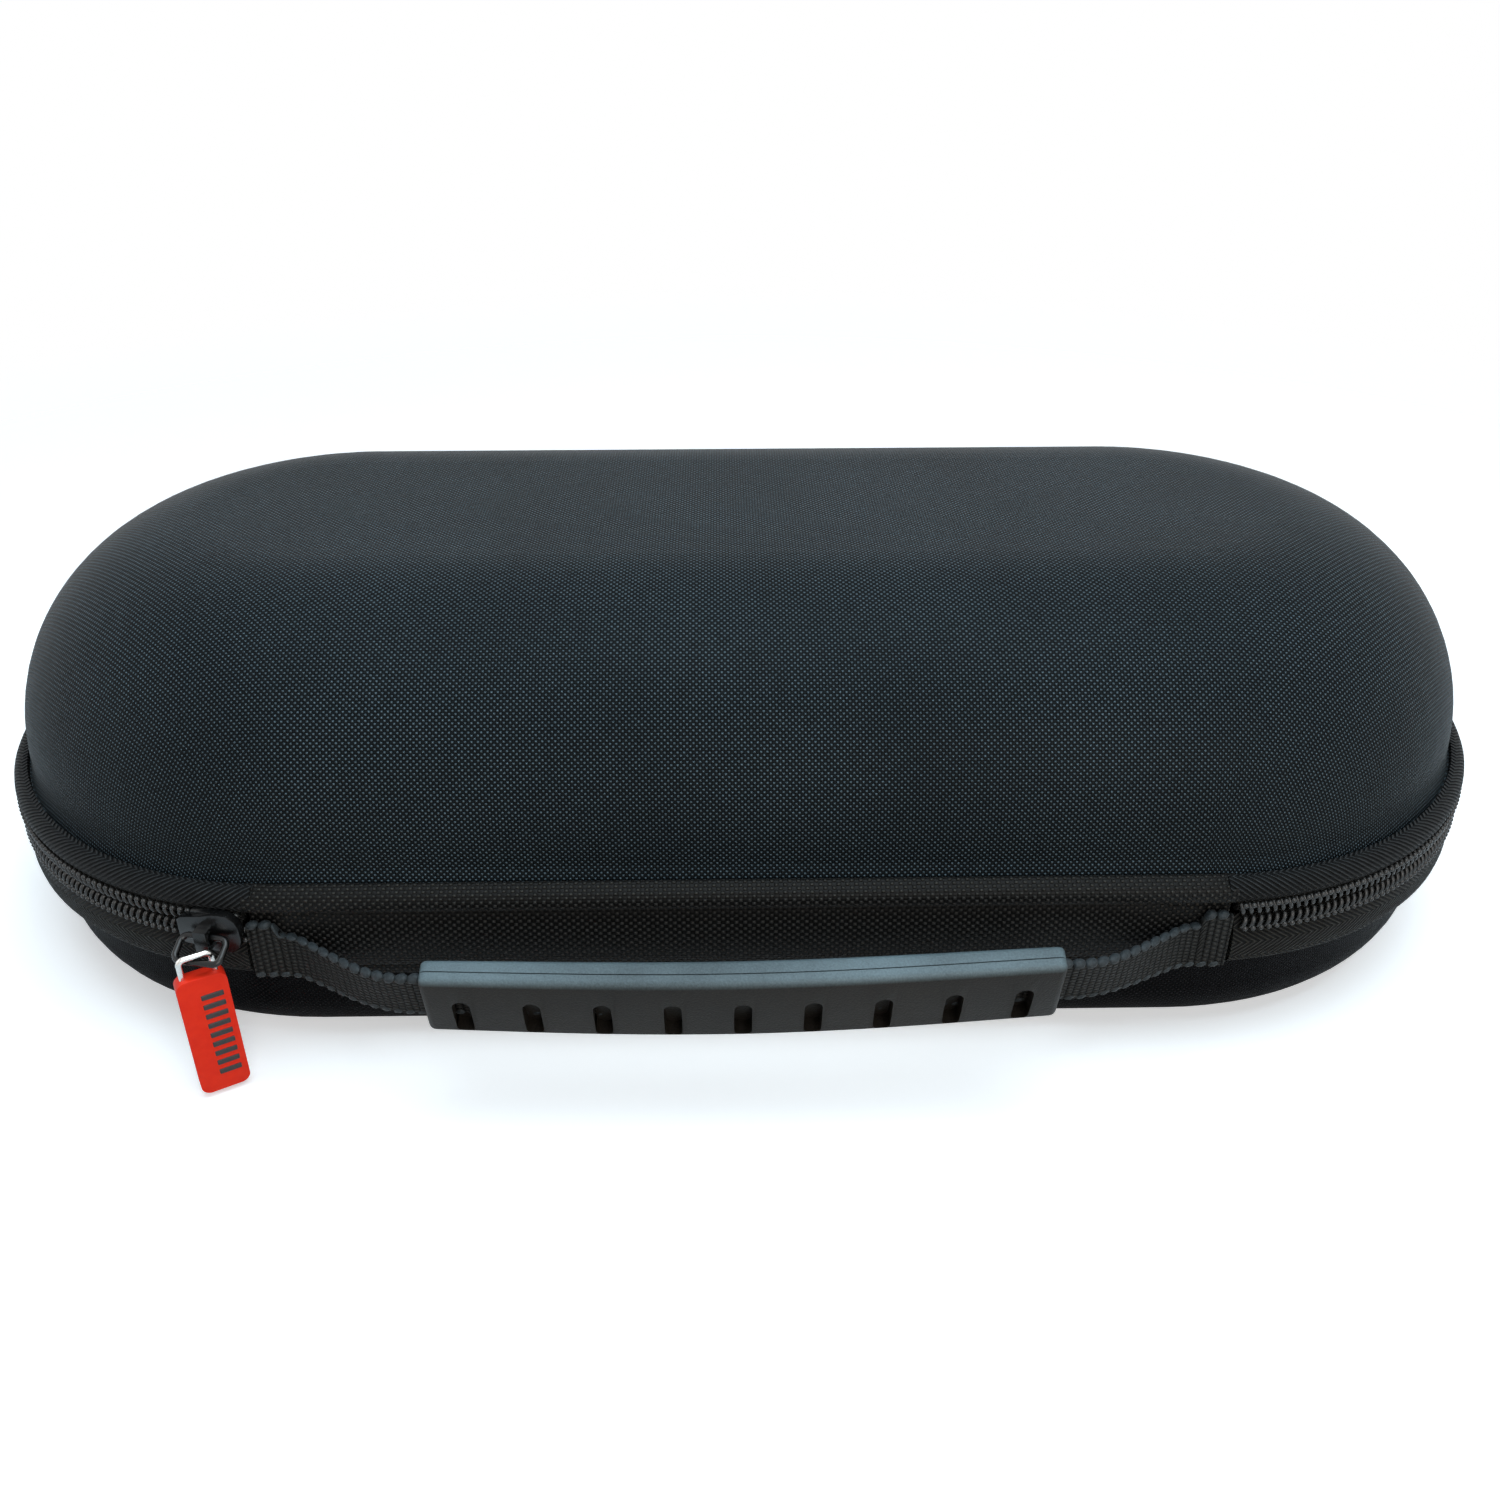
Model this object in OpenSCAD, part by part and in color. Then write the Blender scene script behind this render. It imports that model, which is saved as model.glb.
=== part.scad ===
// Controller carrying case: two moulded cloth-faced shells joined by a cloth
// hinge and handle along the front and a coil zipper round the rest.
// Millimetres. Origin under the middle of the base, X along the case,
// -Y towards the handle, +Z up.

/* [Body] */
// Length over the end curves
case_l = 330; // [300:1:345]
// Width over the rim bindings
case_w = 154; // [148:1:158]
// Height of the base, table to parting plane
base_h = 34; // [30:0.5:40]
// Height of the lid above the parting plane
lid_h = 56; // [50:0.5:60]
// Thickness of the moulded walls
wall = 3.5; // [2.5:0.1:4.5]
// How far the bindings stand out from the walls
band = 3.2; // [3:0.1:3.6]
// Radius of the lid's shoulder
shoulder_r = 45; // [36:1:48]
// Radius of the base's lower edge
foot_r = 14; // [9:0.5:18]
// Lean of the walls from rim to corner
draft = 1.2; // [0.4:0.1:2]

/* [Rim] */
// Radius of the lid's rolled binding
lid_roll_r = 1.8; // [1.6:0.1:2]
// Height of the lid roll's centre above the parting plane
lid_roll_z = 6.3; // [6.3:0.1:6.8]
// Radius of the base's rolled binding
base_roll_r = 1.6; // [1.4:0.1:1.8]
// Depth of the base roll's centre below the parting plane
base_roll_z = 10.2; // [10:0.1:11]
// Thickness of the moulded rim flanges
flange_t = 1.4; // [1:0.1:1.6]

/* [Zipper] */
// How far round the left end the zipper starts, along the case
left_start = 9; // [8.8:0.1:10]
// How far round the right end the zipper ends, along the case
right_stop = 6.8; // [6.4:0.1:8]
// Thickness of the tapes
tape_t = 0.8; // [0.6:0.05:0.9]
// Half the gap between the two tapes
tape_gap = 0.4; // [0.2:0.05:0.8]
// Height of one coil
coil_h = 3.1; // [2.8:0.05:3.1]
// Pitch of the coil
coil_pitch = 1.67; // [1.5:0.01:2]
// Gap between the two coils
coil_gap = 0.1; // [0.05:0.05:0.2]
// Depth of one tooth
tooth_d = 0.9; // [0.5:0.05:1.2]

/* [Hinge] */
// Height of the lower fold below the parting plane
fold_low = 11.2; // [11:0.1:11.4]
// Height of the upper fold above the parting plane
fold_high = 4; // [3.9:0.1:4.1]
// Thickness of the hinge cloth
panel_t = 1.2; // [0.8:0.1:1.2]
// Gap between the hinge cloth and the zipper's ends
panel_gap = 0.6; // [0.4:0.1:1]

/* [Handle] */
// Thickness of the webbing
web_t = 1.6; // [1.2:0.1:1.6]
// Width of the webbing
web_w = 13.4; // [12:0.1:13.4]
// Gap between the webbing's ends and the zipper's ends
web_gap = 1.9; // [1.9:0.1:2.5]
// Length of each sewn end
sewn_l = 6; // [5:0.5:8]
// How far the webbing stands out in the grip
web_reach = 13; // [12:0.5:14]
// Lean of the grip, top edge outwards
grip_lean = 18; // [0:1:20]
// Length of the grip
grip_l = 118.5; // [112:0.5:120]
// Height of the grip
grip_h = 16; // [15.6:0.1:17]
// Thickness of the grip
grip_t = 7.2; // [6.8:0.1:7.6]
// Corner radius of the grip
grip_r = 2.6; // [1.6:0.1:3]
// Number of slots in the grip
slot_n = 9; // [7:2:9]
// Pitch of the slots
slot_pitch = 13; // [12:0.25:13.25]
// Width of a slot
slot_w = 3.4; // [2.6:0.1:4]
// Height of a slot
slot_h = 10; // [8:0.2:11]
// How far the slots sit below the grip's middle
slot_drop = 3.6; // [3:0.1:4]

/* [Slider] */
// Distance of the parked slider's middle from the zipper's start
slider_rest = 5.56; // [5.56:0.1:16]
// Length of the slider
slider_l = 12.6; // [11:0.1:12.8]
// Thickness of its outer plate
plate_t = 1.8; // [1.4:0.1:2]
// Running gap round the coils
run_gap = 0.3; // [0.25:0.05:0.35]
// Radius of the ring's wire
ring_wire = 0.65; // [0.5:0.05:0.7]
// Width of the ring between wire centres
ring_w = 9.3; // [8.8:0.1:9.6]
// Height of the ring between wire centres
ring_h = 5.3; // [5.2:0.1:5.6]
// Lean of the ring away from the case
ring_lean = 62; // [58:1:66]
// Radius of the loop's wire
loop_wire = 0.6; // [0.45:0.05:0.6]
// Spacing of the loop's legs
loop_w = 6; // [5:0.1:6.2]
// Radius of the loop's bends
loop_bend = 1.2; // [1:0.1:1.4]
// Turn of the loop and puller from the slider's line
puller_turn = 40; // [30:1:44]
// How much of the loop shows above the puller
loop_show = 4.3; // [4:0.1:5]
// How far the loop's legs run in the puller
leg_in = 3.9; // [3:0.1:5]
// Width of the puller
puller_w = 9.4; // [8.6:0.1:10]
// Length of the puller
puller_l = 28; // [24:0.1:28.2]
// Thickness of the puller
puller_t = 3.1; // [2.4:0.1:3.2]

/* [Inside] */
// Height of the mesh pocket above the parting plane
mesh_z = 36; // [30:0.5:40]
// Thickness of the mesh
mesh_t = 1; // [0.8:0.1:1.4]
// How far back the mouth of the pocket lies
mouth_y = 24; // [12:1:30]
// Height of the mouth's elastic
elastic_h = 7; // [5:0.5:10]
// Place of the two straps along the case
strap_x = 62; // [45:1:75]
// Width of a strap
strap_w = 25; // [20:1:30]
// Length of a strap
strap_l = 104; // [80:1:110]
// Thickness of a strap
strap_t = 1.5; // [1:0.1:2]
// Length of the hook patch on a strap
patch_l = 25; // [15:1:40]
// Thickness of the hook patch
patch_t = 0.9; // [0.6:0.1:1.4]
// Margin of the patch on the strap
patch_edge = 1.5; // [1:0.1:3]

/* [Hidden] */
$fn = 96;
eps = 0.01;
tuck = 0.05;
end_r = case_w / 2;
half_run = case_l / 2 - end_r;
rim_r = end_r - band;
lid_z = base_h + lid_h;
tape_r = rim_r + tape_t;
coil_in = tape_r + 0.15;
coil_out = end_r + 0.2;
valley_r = coil_out - tooth_d;
crown_r = rim_r - draft - shoulder_r;
floor_r = rim_r - draft - foot_r;
lid_flange_z = base_h + lid_roll_z - flange_t / 2;
base_flange_z = base_h - base_roll_z - flange_t / 2;
base_rim_z = base_flange_z + flange_t;
// The chain's own run, measured at its middle radius
chain_r = (coil_in + coil_out) / 2;
chain_left = half_run + left_start;
chain_right = half_run + right_stop;
left_a = asin(left_start / chain_r);
right_a = asin(right_stop / chain_r);
left_run = (180 - left_a) * PI / 180 * chain_r;
right_run = (180 - right_a) * PI / 180 * chain_r;
chain_run = left_run + right_run + 2 * half_run;
teeth = floor(chain_run / coil_pitch) - 1;
// Hinge cloth and webbing
panel_y = rim_r + 0.4;
web_y = panel_y + panel_t;
web_x = (chain_left + chain_right) / 2 - web_gap;
sewn_x = web_x - sewn_l;
handle_shift = (chain_left - chain_right) / 2;
grip_mid = web_y + web_reach + web_t / 2;
web_z = base_h - fold_low + 0.2;
grip_z = web_z + web_w / 2;
channel_t = web_t + 0.5;
channel_h = web_w + 0.5;
// Slider, ring, loop and puller, measured out from the end's centre
slider_a = left_a + slider_rest / chain_r * 180 / PI;
plate_r = coil_out + run_gap;
bar_r = plate_r + plate_t + 1.1;
bridge_r = bar_r + ring_wire + 0.35;
ring_out = bar_r + ring_h * sin(ring_lean);
ring_low = -ring_h * cos(ring_lean);
loop_up = ring_wire + loop_wire + 0.3;
loop_top = ring_low + loop_up;
puller_top = loop_top - loop_show;
leg_l = loop_show + leg_in;

// Sweeps a section (radius, height) round the two ends and along both sides.
module around() {
    translate([half_run, 0, 0]) rotate([0, 0, -90]) rotate_extrude(angle = 180) children();
    translate([-half_run, 0, 0]) rotate([0, 0, 90]) rotate_extrude(angle = 180) children();
    translate([-half_run, 0, 0]) rotate([90, 0, 90]) linear_extrude(2 * half_run) children();
    mirror([0, 1, 0]) translate([-half_run, 0, 0]) rotate([90, 0, 90])
        linear_extrude(2 * half_run) children();
}

// Clears the front run, where the hinge takes the zipper's place.
module open_front(z, h) {
    difference() {
        children();
        translate([-chain_left, -end_r - 5, z]) cube([chain_left + chain_right, end_r / 2, h]);
    }
}

// Outline of the base in section, taken in by the given depth.
module base_outline(inset) {
    polygon([[0, inset], [floor_r, inset], [floor_r + foot_r - inset, foot_r],
        [rim_r - inset, base_rim_z + (inset > 0 ? 1 : 0)],
        [0, base_rim_z + (inset > 0 ? 1 : 0)]]);
    intersection() {
        translate([floor_r, foot_r]) circle(foot_r - inset);
        translate([floor_r - 1, 0]) square([foot_r + 2, foot_r]);
    }
}

// Outline of the lid in section, taken in by the given depth.
module lid_outline(inset) {
    low = lid_flange_z - (inset > 0 ? 1 : 0);
    polygon([[0, low], [rim_r - inset, low], [crown_r + shoulder_r - inset, lid_z - shoulder_r],
        [crown_r, lid_z - inset], [0, lid_z - inset]]);
    intersection() {
        translate([crown_r, lid_z - shoulder_r]) circle(shoulder_r - inset);
        translate([crown_r - 1, lid_z - shoulder_r]) square([shoulder_r + 2, shoulder_r]);
    }
}

// A rolled binding closed over its flange and over the edge of the tape.
module roll_section(roll_z, roll_r, flange_z, tape_below) {
    difference() {
        union() {
            translate([end_r - roll_r, roll_z]) circle(roll_r);
            translate([rim_r, roll_z - roll_r]) square([end_r - roll_r - rim_r, 2 * roll_r]);
        }
        translate([rim_r - 1, flange_z]) square([end_r - rim_r - 0.1, flange_t]);
        translate([rim_r - 1, tape_below ? flange_z - 5 : flange_z + flange_t - eps])
            square([1 + tape_t, 5 + eps]);
    }
}

// A point of the chain: distance along the run, then radius.
function chain_pt(s, r) =
    s < left_run ? let(a = left_a + s / chain_r * 180 / PI)
        [-half_run - r * sin(a), -r * cos(a)]
    : s < left_run + 2 * half_run ? [s - left_run - half_run, r]
    : let(a = 180 - (s - left_run - 2 * half_run) / chain_r * 180 / PI)
        [half_run + r * sin(a), -r * cos(a)];

// Plan of one coil, with a peak for every turn.
module coil_plan(shift) {
    start = coil_pitch * (0.5 + shift);
    peaks = [for (i = [0 : teeth - 1]) each [
        chain_pt(start + i * coil_pitch, valley_r),
        chain_pt(start + (i + 0.5) * coil_pitch, coil_out)]];
    right = [for (i = [0 : 44])
        chain_pt(chain_run - coil_pitch / 2 - i * right_run / 45, coil_in)];
    left = [for (i = [45 : -1 : 0]) chain_pt(start + i * (left_run - start) / 45, coil_in)];
    polygon(concat(peaks, right, left));
}

// Puts a piece at the parked slider; -Y points out of the case.
module at_slider() {
    translate([-half_run, 0, base_h]) rotate([0, 0, -slider_a]) children();
}

module base_shell() {
    color([0.13, 0.14, 0.16]) {
        around() difference() { base_outline(0); base_outline(wall); }
        open_front(base_flange_z - 1, flange_t + 2)
            around() translate([rim_r - 1, base_flange_z]) square([end_r - rim_r - 0.1, flange_t]);
    }
}

module base_rim_binding() {
    color([0.2, 0.22, 0.26]) open_front(base_h - 2 * base_roll_z, 2 * base_roll_z)
        around() roll_section(base_h - base_roll_z, base_roll_r, base_flange_z, false);
}

module lower_zipper_tape() {
    color([0.18, 0.2, 0.25]) open_front(base_rim_z - 1, base_h)
        around() translate([rim_r, base_rim_z]) square([tape_t, base_h - tape_gap - base_rim_z]);
}

module lower_zipper_coil() {
    color([0.1, 0.11, 0.13]) translate([0, 0, base_h - coil_h])
        linear_extrude(coil_h - coil_gap / 2) coil_plan(0);
}

// An elastic strap lying open along the base's floor.
module floor_strap(x) {
    translate([x - strap_w / 2, -strap_l / 2, wall]) cube([strap_w, strap_l, strap_t]);
}

// The hook patch on the free end of a strap.
module strap_patch(x) {
    translate([x - strap_w / 2 + patch_edge, strap_l / 2 - patch_l - patch_edge, wall + strap_t])
        cube([strap_w - 2 * patch_edge, patch_l, patch_t]);
}

module left_strap() { color([0.08, 0.08, 0.09]) floor_strap(-strap_x); }

module left_strap_patch() { color([0.14, 0.14, 0.15]) strap_patch(-strap_x); }

module right_strap() { color([0.08, 0.08, 0.09]) floor_strap(strap_x); }

module right_strap_patch() { color([0.14, 0.14, 0.15]) strap_patch(strap_x); }

module lid_shell() {
    color([0.22, 0.25, 0.29]) {
        around() difference() { lid_outline(0); lid_outline(wall); }
        around() translate([rim_r - 1, lid_flange_z]) square([end_r - rim_r - 0.1, flange_t]);
    }
}

module lid_rim_binding() {
    color([0.2, 0.22, 0.26])
        around() roll_section(base_h + lid_roll_z, lid_roll_r, lid_flange_z, true);
}

module upper_zipper_tape() {
    color([0.18, 0.2, 0.25]) open_front(base_h - 1, lid_roll_z + 2)
        around() translate([rim_r, base_h + tape_gap])
            square([tape_t, lid_flange_z - base_h - tape_gap]);
}

module upper_zipper_coil() {
    color([0.1, 0.11, 0.13]) translate([0, 0, base_h + coil_gap / 2])
        linear_extrude(coil_h - coil_gap / 2) coil_plan(0.5);
}

// Radius of the lid's inner face at a height above the parting plane.
function inside_r(z) = crown_r
    + sqrt(pow(shoulder_r - wall, 2) - pow(z - (lid_h - shoulder_r), 2));

module mesh_pocket() {
    color([0.1, 0.1, 0.11]) difference() {
        around() translate([0, base_h + mesh_z]) square([inside_r(mesh_z + mesh_t) - 0.3, mesh_t]);
        translate([-case_l, mouth_y, base_h + mesh_z - 1]) cube([2 * case_l, case_w, mesh_t + 2]);
    }
}

module pocket_elastic() {
    reach = half_run + sqrt(pow(inside_r(mesh_z + mesh_t) - 0.3, 2) - pow(mouth_y, 2)) - 1.5;
    color([0.06, 0.06, 0.07]) translate([-reach, mouth_y - elastic_h, base_h + mesh_z - 1.2])
        cube([2 * reach, elastic_h, 1.2]);
}

module hinge_panel() {
    color([0.14, 0.15, 0.17])
        translate([panel_gap - chain_left, -panel_y - panel_t, base_h - fold_low])
            cube([chain_left + chain_right - 2 * panel_gap, panel_t, fold_low + fold_high]);
}

// Puts a piece in the leaning middle of the handle.
module at_grip() {
    translate([-handle_shift, -grip_mid, grip_z]) rotate([grip_lean, 0, 0]) children();
}

// Corners of the webbing's section at a place along X. Over the ramp it
// moves out and leans over, from 0 at the sewn end to 1 at the grip.
function web_section(x, ramp) =
    let(lean = grip_lean * ramp, out = web_y + web_t / 2 + web_reach * ramp)
    [for (c = [[-1, -1], [1, -1], [1, 1], [-1, 1]])
        let(u = c[0] * web_t / 2, v = c[1] * web_w / 2)
        [x - handle_shift, u * cos(lean) - v * sin(lean) - out,
            grip_z + u * sin(lean) + v * cos(lean)]];

module handle_webbing() {
    straight = grip_l / 2 + 1.2;
    steps = 6;
    left = concat([web_section(-web_x, 0)], [for (i = [0 : steps])
        web_section(-sewn_x + i / steps * (sewn_x - straight), (1 - cos(180 * i / steps)) / 2)]);
    right = concat([for (i = [steps : -1 : 0])
        web_section(sewn_x - i / steps * (sewn_x - straight), (1 - cos(180 * i / steps)) / 2)],
        [web_section(web_x, 0)]);
    sections = concat(left, right);
    last = 4 * len(sections) - 1;
    sides = [for (i = [0 : len(sections) - 2], j = [0 : 3])
        let(a = 4 * i + j, b = 4 * i + (j + 1) % 4) each [[a, a + 4, b + 4], [a, b + 4, b]]];
    color([0.17, 0.19, 0.22]) polyhedron([for (s = sections) each s],
        concat([[0, 1, 2, 3]], sides, [[last, last - 1, last - 2, last - 3]]));
}

// A bar along X with rounded long edges.
module rounded_bar(l, t, h, r) {
    translate([-l / 2, -t / 2, -h / 2]) rotate([90, 0, 90]) linear_extrude(l) {
        translate([r, 0]) square([t - 2 * r, h]);
        translate([0, r]) square([t, h - 2 * r]);
        for (y = [r, t - r], z = [r, h - r]) translate([y, z]) circle(r);
    }
}

module handle_grip() {
    color([0.16, 0.17, 0.18]) at_grip() difference() {
        intersection() {
            rounded_bar(grip_l, grip_t, grip_h, grip_r);
            rotate([90, 0, 0]) translate([0, 0, -grip_t]) linear_extrude(2 * grip_t) {
                square([grip_l - 8, grip_h + 1], center = true);
                square([grip_l, grip_h - 8], center = true);
                for (x = [-1, 1], z = [-1, 1])
                    translate([x * (grip_l / 2 - 4), z * (grip_h / 2 - 4)]) circle(4);
            }
        }
        cube([grip_l + 2, channel_t, channel_h], center = true);
        for (i = [-(slot_n - 1) / 2 : (slot_n - 1) / 2])
            translate([i * slot_pitch, 0, -slot_drop]) rotate([90, 0, 0]) linear_extrude(grip_t) {
                square([slot_w, slot_h - slot_w], center = true);
                for (z = [-1, 1]) translate([0, z * (slot_h - slot_w) / 2]) circle(slot_w / 2);
            }
    }
}

// The slider's plan: narrow tail, bulging shoulders, blunt nose.
module slider_plan() {
    polygon([[-slider_l / 2, -2.3], [-slider_l / 2 + 1, -3], [-1.2, -3.7], [1.6, -4.4],
        [4.2, -4.3], [slider_l / 2 - 0.6, -3], [slider_l / 2, -1.4],
        [slider_l / 2, 1.4], [slider_l / 2 - 0.6, 3], [4.2, 4.3], [1.6, 4.4],
        [-1.2, 3.7], [-slider_l / 2 + 1, 3], [-slider_l / 2, 2.3]]);
}

module slider_body() {
    lip_z = coil_h + run_gap;
    color([0.05, 0.05, 0.06]) at_slider() {
        intersection() {
            rotate_extrude() translate([plate_r, -4.4]) square([plate_t, 8.8]);
            rotate([90, 0, 0]) linear_extrude(end_r + 20) slider_plan();
        }
        for (z = [lip_z, -lip_z - 0.8]) intersection() {
            rotate_extrude() translate([plate_r - 1.4, z]) square([1.4 + plate_t / 2, 0.8]);
            translate([-3.4, -end_r - 10, z - 1]) cube([6.8, 20, 3]);
        }
        difference() {
            translate([-1.3, -bridge_r - 0.9, -2.3])
                cube([2.6, 0.9 + bridge_r - plate_r - plate_t / 2, 4.6]);
            translate([-2, -bridge_r, -1.25]) cube([4, bridge_r - plate_r - plate_t, 2.5]);
        }
    }
}

// A quarter bend of wire from +X round to -Z; straight lengths are tucked into it.
module wire_bend(bend, r) {
    rotate([90, 0, 0]) rotate_extrude(angle = 90) translate([bend, 0]) circle(r + eps);
}

// Straight lengths and quarter bends of a wire frame; w and h between centres.
module wire_frame(w, h, bend, r) {
    for (x = [-1, 1]) translate([x * w / 2, 0, -h + bend - tuck])
        cylinder(h - 2 * bend + 2 * tuck, r = r);
    for (z = [0, -h]) translate([-w / 2 + bend - tuck, 0, z]) rotate([0, 90, 0])
        cylinder(w - 2 * bend + 2 * tuck, r = r);
    for (x = [-1, 1], z = [0, 1]) translate([x * (w / 2 - bend), 0, z ? -bend : -h + bend])
        mirror([x < 0 ? 1 : 0, 0, 0]) mirror([0, 0, z ? 0 : 1]) wire_bend(bend, r);
}

module pull_ring() {
    color([0.05, 0.05, 0.06]) at_slider() translate([0, -bar_r, 0]) rotate([-ring_lean, 0, 0])
        wire_frame(ring_w, ring_h, 1.5, ring_wire);
}

// Puts a piece at the top of the wire loop, turned with the puller.
module at_puller() {
    at_slider() translate([0, -ring_out, loop_top]) rotate([0, 0, puller_turn]) children();
}

module wire_loop() {
    color([0.7, 0.71, 0.73]) at_puller() {
        for (x = [-1, 1]) translate([x * loop_w / 2, 0, -leg_l])
            cylinder(leg_l - loop_bend + tuck, r = loop_wire);
        translate([-loop_w / 2 + loop_bend - tuck, 0, 0]) rotate([0, 90, 0])
            cylinder(loop_w - 2 * loop_bend + 2 * tuck, r = loop_wire);
        for (x = [-1, 1]) mirror([x < 0 ? 1 : 0, 0, 0])
            translate([loop_w / 2 - loop_bend, 0, -loop_bend]) wire_bend(loop_bend, loop_wire);
    }
}

module rubber_puller() {
    color([0.86, 0.1, 0.05]) at_puller() difference() {
        translate([0, puller_t / 2, puller_top - loop_top]) rotate([90, 0, 0])
            linear_extrude(puller_t) {
                translate([-puller_w / 2, -puller_l + 2]) square([puller_w, puller_l - 4]);
                translate([-puller_w / 2 + 2, -puller_l]) square([puller_w - 4, puller_l]);
                for (x = [-1, 1], z = [-2, -puller_l + 2])
                    translate([x * (puller_w / 2 - 2), z]) circle(2);
            }
        for (x = [-1, 1]) translate([x * loop_w / 2, 0, -leg_l]) cylinder(leg_l, r = loop_wire);
    }
}

base_shell();
base_rim_binding();
lower_zipper_tape();
lower_zipper_coil();
left_strap();
left_strap_patch();
right_strap();
right_strap_patch();
lid_shell();
lid_rim_binding();
upper_zipper_tape();
upper_zipper_coil();
mesh_pocket();
pocket_elastic();
hinge_panel();
handle_webbing();
handle_grip();
slider_body();
pull_ring();
wire_loop();
rubber_puller();
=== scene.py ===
import math

import bpy
import numpy as np
from mathutils import Matrix, Vector


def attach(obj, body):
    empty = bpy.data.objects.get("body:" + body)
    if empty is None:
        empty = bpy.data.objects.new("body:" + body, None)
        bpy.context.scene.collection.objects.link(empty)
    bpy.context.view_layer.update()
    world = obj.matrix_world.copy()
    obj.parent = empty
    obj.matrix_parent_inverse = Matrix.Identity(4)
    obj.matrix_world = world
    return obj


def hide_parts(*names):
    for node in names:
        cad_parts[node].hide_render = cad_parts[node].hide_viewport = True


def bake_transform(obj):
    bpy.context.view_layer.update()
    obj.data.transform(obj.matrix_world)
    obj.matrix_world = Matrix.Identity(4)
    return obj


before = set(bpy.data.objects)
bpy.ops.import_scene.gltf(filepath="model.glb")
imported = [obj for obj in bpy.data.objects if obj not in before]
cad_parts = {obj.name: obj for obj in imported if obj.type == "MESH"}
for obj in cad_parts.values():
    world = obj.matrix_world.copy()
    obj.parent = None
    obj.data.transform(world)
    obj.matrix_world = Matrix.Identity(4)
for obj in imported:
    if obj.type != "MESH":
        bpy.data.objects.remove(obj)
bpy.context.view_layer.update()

# Studio: a pale table, a dim room and four soft lamps, the largest overhead
# and cool. The camera stands where the photographer did.
scene = bpy.context.scene
scene.view_settings.view_transform = "Standard"
PARTING_Z = 0.034

look_up = math.radians(30.366)
look_round = math.radians(-0.784)
look_roll = math.radians(0.132)
CAMERA_AWAY = 0.3356       # metres from the middle of the parting plane
PICTURE = 1500             # the picture's side, and below it, all in pixels
FOCAL = 1397.8
LENS_X, LENS_Y = 741.6, 722.4
camera_back = Vector((math.sin(look_round) * math.cos(look_up),
                      -math.cos(look_round) * math.cos(look_up), math.sin(look_up)))
camera_right = Vector((math.cos(look_round), math.sin(look_round), 0))
camera_up = camera_back.cross(camera_right)
level_right = camera_right * math.cos(look_roll) - camera_up * math.sin(look_roll)
level_up = camera_right * math.sin(look_roll) + camera_up * math.cos(look_roll)
bpy.ops.object.camera_add()
camera = bpy.context.object
camera.name = "studio_camera"
turn = Matrix((level_right, level_up, camera_back)).transposed()
camera.matrix_world = Matrix.Translation(
    Vector((0, 0, PARTING_Z)) + camera_back * CAMERA_AWAY) @ turn.to_4x4()
camera.data.sensor_width = 36
camera.data.lens = camera.data.sensor_width * FOCAL / PICTURE
camera.data.shift_x = 0.5 - LENS_X / PICTURE
camera.data.shift_y = LENS_Y / PICTURE - 0.5
camera.data.clip_start = 0.01
scene.camera = camera


def soft_lamp(name, place, size, power, colour):
    bpy.ops.object.light_add(type="AREA", location=place)
    lamp = bpy.context.object
    lamp.name = name
    lamp.data.size = size
    lamp.data.energy = power
    lamp.data.color = colour
    lamp.rotation_euler = (Vector((0, 0, 0.03)) - Vector(place)).to_track_quat("-Z", "Y").to_euler()


soft_lamp("sky_lamp", (0.10, -0.12, 0.95), 0.80, 8.5, (0.76, 0.91, 1))
soft_lamp("back_lamp", (0.25, 0.95, 0.75), 0.7, 0.3, (0.74, 0.89, 1))
soft_lamp("front_lamp", (0.35, -0.95, 0.50), 0.6, 4.6, (1, 0.97, 0.93))
soft_lamp("side_lamp", (-0.95, -0.25, 0.45), 0.6, 1.0, (0.88, 0.95, 1))


def sees_white(tree, light_path):
    """1 for rays that come straight, or by way of metal or gloss, from the
    camera."""
    either = tree.nodes.new("ShaderNodeMath")
    either.operation = "MAXIMUM"
    tree.links.new(light_path.outputs["Is Camera Ray"], either.inputs[0])
    tree.links.new(light_path.outputs["Is Glossy Ray"], either.inputs[1])
    every = tree.nodes.new("ShaderNodeMath")
    every.operation = "MAXIMUM"
    tree.links.new(either.outputs[0], every.inputs[0])
    tree.links.new(light_path.outputs["Is Transmission Ray"], every.inputs[1])
    return every.outputs[0]


world = bpy.data.worlds.new("soft_room")
world.use_nodes = True
scene.world = world
room = world.node_tree
plain_room = room.nodes["Background"]
# Cool from above and warm from below, as over a wooden table
room_way = room.nodes.new("ShaderNodeTexCoord")
room_axes = room.nodes.new("ShaderNodeSeparateXYZ")
room.links.new(room_way.outputs["Generated"], room_axes.inputs[0])
room_rise = room.nodes.new("ShaderNodeMapRange")
room_rise.inputs["From Min"].default_value = -0.15
room_rise.inputs["From Max"].default_value = 0.25
room.links.new(room_axes.outputs["Z"], room_rise.inputs["Value"])
room_tone = room.nodes.new("ShaderNodeMix")
room_tone.data_type = "RGBA"
room_tone.inputs["A"].default_value = (0.15, 0.10, 0.07, 1)
room_tone.inputs["B"].default_value = (0.09, 0.13, 0.17, 1)
room.links.new(room_rise.outputs["Result"], room_tone.inputs["Factor"])
room.links.new(room_tone.outputs["Result"], plain_room.inputs["Color"])
white_room = room.nodes.new("ShaderNodeBackground")
white_room.inputs["Color"].default_value = (1, 1, 1, 1)
seen = room.nodes.new("ShaderNodeLightPath")
pick = room.nodes.new("ShaderNodeMixShader")
room.links.new(sees_white(room, seen), pick.inputs[0])
room.links.new(plain_room.outputs[0], pick.inputs[1])
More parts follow.
